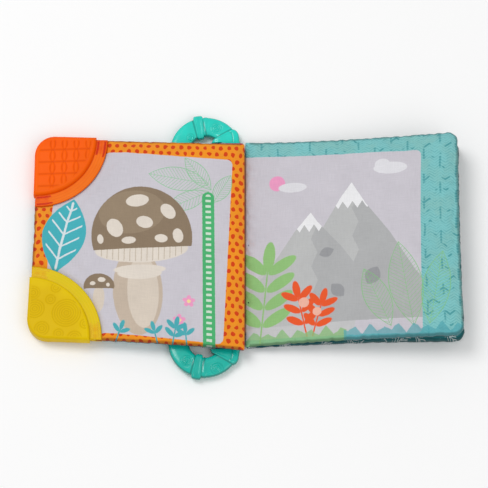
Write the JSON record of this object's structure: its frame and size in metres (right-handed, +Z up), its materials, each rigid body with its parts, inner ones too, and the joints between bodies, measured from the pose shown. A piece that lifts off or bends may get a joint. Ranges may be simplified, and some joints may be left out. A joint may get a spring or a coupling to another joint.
{
  "type": "crinkle cloth book",
  "caption": "Soft padded cloth book lying open at its cover, with moulded teether corners on the cover and ring links on ribbon loops at the spine ends.",
  "frame": {"origin": "Middle of the open book's bounding box, on the surface that it lies on, close under the spine.", "axes": "+X from the spine towards the fore edge of the right-hand block, +Y up the page along the spine, +Z up."},
  "size_m": [0.3348, 0.2206, 0.0293],
  "materials": {
    "cover_print": "printed plain-weave polyester, padded",
    "cover_back_print": "printed plain-weave polyester, padded",
    "leaf_print": "printed plain-weave polyester, padded",
    "leaf_back_print": "printed plain-weave polyester, padded",
    "dark_print": "printed plain-weave polyester, padded",
    "crinkle_film": "thin noisy film, hidden",
    "padding": "polyester wadding, hidden",
    "spine": "plain-weave polyester",
    "orange_teether": "soft satin moulding, waffle relief",
    "yellow_teether": "soft satin moulding, concentric relief",
    "ribbon": "woven ribbon",
    "top_ring": "gloss moulding with shallow relief",
    "bottom_ring": "gloss moulding with shallow relief"
  },
  "bodies": {
    "back_cover": {"back_cover_inner_cloth": "leaf_back_print", "back_cover_crinkle_film": "crinkle_film", "back_cover_padding": "padding", "back_cover_outer_cloth": "dark_print", "spine_cloth": "spine"},
    "inner_leaf": {"inner_leaf_front_cloth": "leaf_print", "inner_leaf_crinkle_film": "crinkle_film", "inner_leaf_padding": "padding", "inner_leaf_back_cloth": "leaf_back_print"},
    "front_cover": {"front_cover_reading_cloth": "cover_print", "front_cover_crinkle_film": "crinkle_film", "front_cover_padding": "padding", "front_cover_outer_cloth": "cover_back_print", "orange_corner_teether": "orange_teether", "yellow_corner_teether": "yellow_teether"},
    "top_loop": {"top_ribbon_loop": "ribbon"},
    "top_ring": {"top_ring_link": "top_ring"},
    "bottom_loop": {"bottom_ribbon_loop": "ribbon"},
    "bottom_ring": {"bottom_ring_link": "bottom_ring"}
  },
  "joints": [
    {"name": "front_cover_hinge", "type": "hinge", "parent": "back_cover", "child": "front_cover", "pos_m": [0, 0, 0.0134], "axis": [0, 1, 0], "range_deg": [0, 171]},
    {"name": "inner_leaf_hinge", "type": "hinge", "parent": "back_cover", "child": "inner_leaf", "pos_m": [0, 0, 0.0134], "axis": [0, 1, 0], "range_deg": [-170, 0]},
    {"name": "top_loop_bend", "type": "hinge", "parent": "back_cover", "child": "top_loop", "pos_m": [-0.0012, 0.079, 0.0043], "axis": [0, 0, 1], "range_deg": [-8, 8]},
    {"name": "top_ring_turn", "type": "hinge", "parent": "top_loop", "child": "top_ring", "pos_m": [-0.0315, 0.0797, 0.0043], "axis": [0, 0, 1], "range_deg": [0, 200]},
    {"name": "bottom_loop_bend", "type": "hinge", "parent": "back_cover", "child": "bottom_loop", "pos_m": [-0.0012, -0.079, 0.0043], "axis": [0, 0, -1], "range_deg": [-8, 8]},
    {"name": "bottom_ring_turn", "type": "hinge", "parent": "bottom_loop", "child": "bottom_ring", "pos_m": [-0.0315, -0.0797, 0.0043], "axis": [0, 0, -1], "range_deg": [0, 200]}
  ]
}
